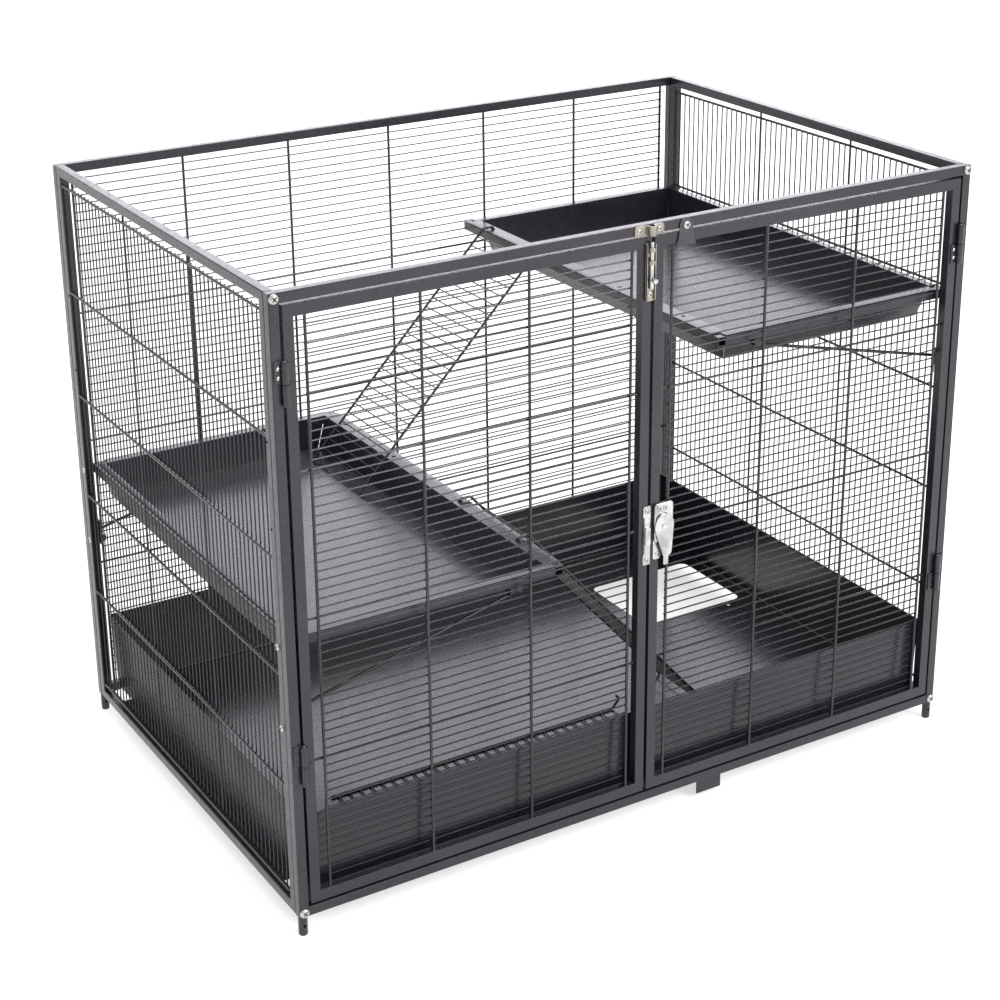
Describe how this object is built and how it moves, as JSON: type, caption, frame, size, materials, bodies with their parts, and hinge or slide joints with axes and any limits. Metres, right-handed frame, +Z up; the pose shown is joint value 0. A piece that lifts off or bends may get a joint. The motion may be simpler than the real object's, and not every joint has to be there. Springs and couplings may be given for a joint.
{
  "type": "ferret cage",
  "caption": "Tall wire pet cage on a square-tube frame with double front doors, shelves with trays, ramps and a deep bottom tray.",
  "frame": {"origin": "on the ground under the middle of the frame, level with the undersides of the feet", "axes": "+Z up, +X along the width to the right as seen from the doors, +Y from the doors to the back"},
  "size_m": [0.9548, 0.6467, 0.771],
  "materials": {
    "frame_paint": "fine hammered dark charcoal powder coat, semi-gloss",
    "wire_paint": "dark charcoal powder coat on wire",
    "pan": "smooth dark grey enamel with a soft gloss",
    "zinc": "bright zinc-plated screws",
    "chrome": "polished chrome plate"
  },
  "bodies": {
    "root": {"front_frame": "frame_paint", "back_frame": "frame_paint", "back_grille": "wire_paint", "left_side_frame": "frame_paint", "left_side_grille": "wire_paint", "right_side_frame": "frame_paint", "right_side_grille": "wire_paint", "foot_front_left": "frame_paint", "corner_bolt_front_left_bottom": "zinc", "corner_bolt_front_left_top": "zinc", "foot_front_right": "frame_paint", "corner_bolt_front_right_bottom": "zinc", "corner_bolt_front_right_top": "zinc", "foot_rear_left": "frame_paint", "corner_bolt_rear_left_bottom": "zinc", "corner_bolt_rear_left_top": "zinc", "foot_rear_right": "frame_paint", "corner_bolt_rear_right_bottom": "zinc", "corner_bolt_rear_right_top": "zinc", "upper_shelf_frame": "frame_paint", "upper_shelf_pan": "pan", "upper_front_strut": "wire_paint", "upper_front_shelf_screw": "zinc", "upper_front_strut_screw": "zinc", "upper_rear_strut": "wire_paint", "upper_rear_shelf_screw": "zinc", "upper_rear_strut_screw": "zinc", "lower_shelf_frame": "frame_paint", "lower_shelf_pan": "pan", "lower_front_strut": "wire_paint", "lower_front_shelf_screw": "zinc", "lower_front_strut_screw": "zinc", "lower_rear_strut": "wire_paint", "lower_rear_shelf_screw": "zinc", "lower_rear_strut_screw": "zinc", "bottom_tray": "pan", "bolt_keeper": "chrome", "swing_tab_screw": "zinc", "bottom_tab": "frame_paint", "left_upper_hinge_frame_leaf": "frame_paint", "left_lower_hinge_frame_leaf": "frame_paint", "right_upper_hinge_frame_leaf": "frame_paint", "right_lower_hinge_frame_leaf": "frame_paint"},
    "left_door": {"left_door_frame": "frame_paint", "left_door_grille": "wire_paint", "left_upper_hinge_door_leaf": "frame_paint", "left_lower_hinge_door_leaf": "frame_paint", "bolt_plate": "chrome", "strike_plate": "chrome"},
    "tower_bolt": {"bolt_rod": "chrome"},
    "right_door": {"right_door_frame": "frame_paint", "right_door_grille": "wire_paint", "right_upper_hinge_door_leaf": "frame_paint", "right_lower_hinge_door_leaf": "frame_paint", "latch_body": "chrome"},
    "latch": {"latch_lever": "chrome"},
    "swing_tab": {"swing_tab": "frame_paint"},
    "upper_ramp": {"upper_ramp": "wire_paint"},
    "lower_ramp": {"lower_ramp": "wire_paint"},
    "floor_ramp": {"floor_ramp": "wire_paint"}
  },
  "joints": [
    {"name": "left_door_hinge", "type": "hinge", "parent": "root", "child": "left_door", "pos_m": [-0.4615, -0.319, 0.4], "axis": [0, 0, -1], "range_deg": [0, 180]},
    {"name": "right_door_hinge", "type": "hinge", "parent": "root", "child": "right_door", "pos_m": [0.4615, -0.319, 0.4], "axis": [0, 0, 1], "range_deg": [0, 180]},
    {"name": "tower_bolt_slide", "type": "slide", "parent": "left_door", "child": "tower_bolt", "axis": [0, 0, 1], "range_m": [0, 0.014]},
    {"name": "latch_turn", "type": "hinge", "parent": "right_door", "child": "latch", "pos_m": [0.018, -0.321, 0.397], "axis": [0, -1, 0], "range_deg": [0, 90]},
    {"name": "swing_tab_turn", "type": "hinge", "parent": "root", "child": "swing_tab", "pos_m": [0.044, -0.316, 0.762], "axis": [0, 1, 0], "range_deg": [-90, 90]},
    {"name": "upper_ramp_lift", "type": "hinge", "parent": "root", "child": "upper_ramp", "pos_m": [0.12075, 0.1685, 0.61], "axis": [0, 1, 0], "range_deg": [0, 45]},
    {"name": "lower_ramp_lift", "type": "hinge", "parent": "root", "child": "lower_ramp", "pos_m": [-0.12075, -0.1435, 0.37], "axis": [0, -1, 0], "range_deg": [0, 45]},
    {"name": "floor_ramp_lift", "type": "slide", "parent": "root", "child": "floor_ramp", "axis": [0, 0, 1], "range_m": [0, 0.04]}
  ]
}
